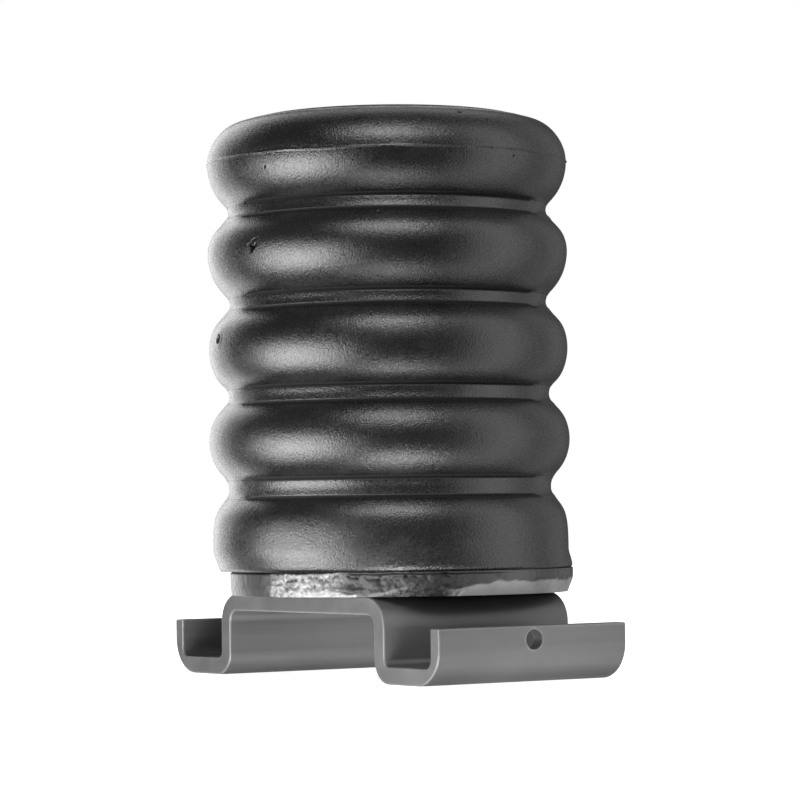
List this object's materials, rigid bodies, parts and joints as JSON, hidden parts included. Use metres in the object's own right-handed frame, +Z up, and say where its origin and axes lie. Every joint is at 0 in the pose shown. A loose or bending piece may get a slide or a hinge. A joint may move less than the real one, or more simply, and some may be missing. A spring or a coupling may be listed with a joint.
{
  "type": "suspension helper spring",
  "caption": "Convoluted foam-rubber helper spring standing on a bent steel saddle bracket with an upward-open channel on each side for a leaf spring's U-bolts.",
  "frame": {"origin": "centre of the plane that the bracket's two channel floors stand on, straight below the spring's axis", "axes": "+Z up the spring's axis to the face the vehicle frame strikes; X across the saddle from channel to channel; Y along the channels, across the leaf spring"},
  "size_m": [0.1322, 0.1014, 0.1563],
  "materials": {
    "bracket_paint": "satin",
    "zinc_steel": "satin",
    "seat_urethane": "satin",
    "foam_rubber": "satin",
    "top_plastic": "satin"
  },
  "bodies": {
    "base": {"saddle_bracket": "bracket_paint", "mounting_screw": "zinc_steel", "base_plate": "zinc_steel", "weld_nut": "zinc_steel", "seat_disc": "seat_urethane", "spring_body": "foam_rubber"},
    "top": {"top_plate": "top_plastic"}
  },
  "joints": [
    {"name": "compression", "type": "slide", "parent": "base", "child": "top", "axis": [0, 0, -1], "range_m": [0, 0.066], "stiffness_N_per_m": 100000, "deforming": ["spring_body"]}
  ]
}
